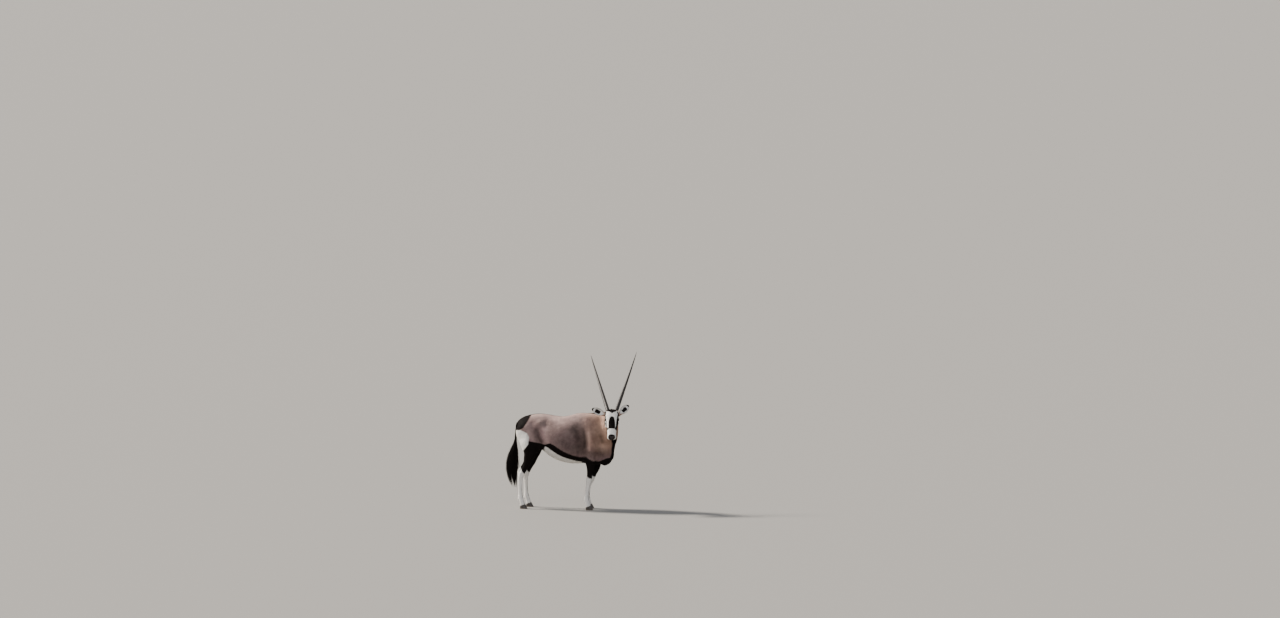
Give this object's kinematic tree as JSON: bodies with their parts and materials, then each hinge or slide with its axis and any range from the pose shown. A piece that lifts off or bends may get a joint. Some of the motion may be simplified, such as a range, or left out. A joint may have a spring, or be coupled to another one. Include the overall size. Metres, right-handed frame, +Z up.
{
  "type": "gemsbok",
  "caption": "Still, life-size standing gemsbok with long straight horns, the head turned to its own right, on cloven hooves.",
  "frame": {"origin": "on the floor under the middle of the whole model's box", "axes": "+Z up, +X along the trunk towards the chest, -Y to the animal's own right, where its face looks"},
  "size_m": [1.5788, 0.808, 1.9304],
  "materials": {
    "grey_coat": "short grey-fawn hair",
    "white_coat": "short white hair",
    "black_coat": "short black hair",
    "tail_hair": "long black hair",
    "horn": "ringed black horn, smooth at the tip",
    "hoof": "dark worn horn",
    "eye": "wet and dark"
  },
  "bodies": {
    "root": {"head": "white_coat", "neck": "grey_coat", "torso": "grey_coat", "tail": "tail_hair", "foreleg_right": "white_coat", "foreleg_left": "white_coat", "hindleg_right": "white_coat", "hindleg_left": "white_coat", "hoof_foreleg_right_inner": "hoof", "hoof_foreleg_right_outer": "hoof", "hoof_foreleg_left_inner": "hoof", "hoof_foreleg_left_outer": "hoof", "hoof_hindleg_right_inner": "hoof", "hoof_hindleg_right_outer": "hoof", "hoof_hindleg_left_inner": "hoof", "hoof_hindleg_left_outer": "hoof", "horn_right": "horn", "horn_left": "horn", "ear_right": "white_coat", "ear_left": "white_coat", "eye_right": "eye", "eye_left": "eye"}
  },
  "joints": []
}
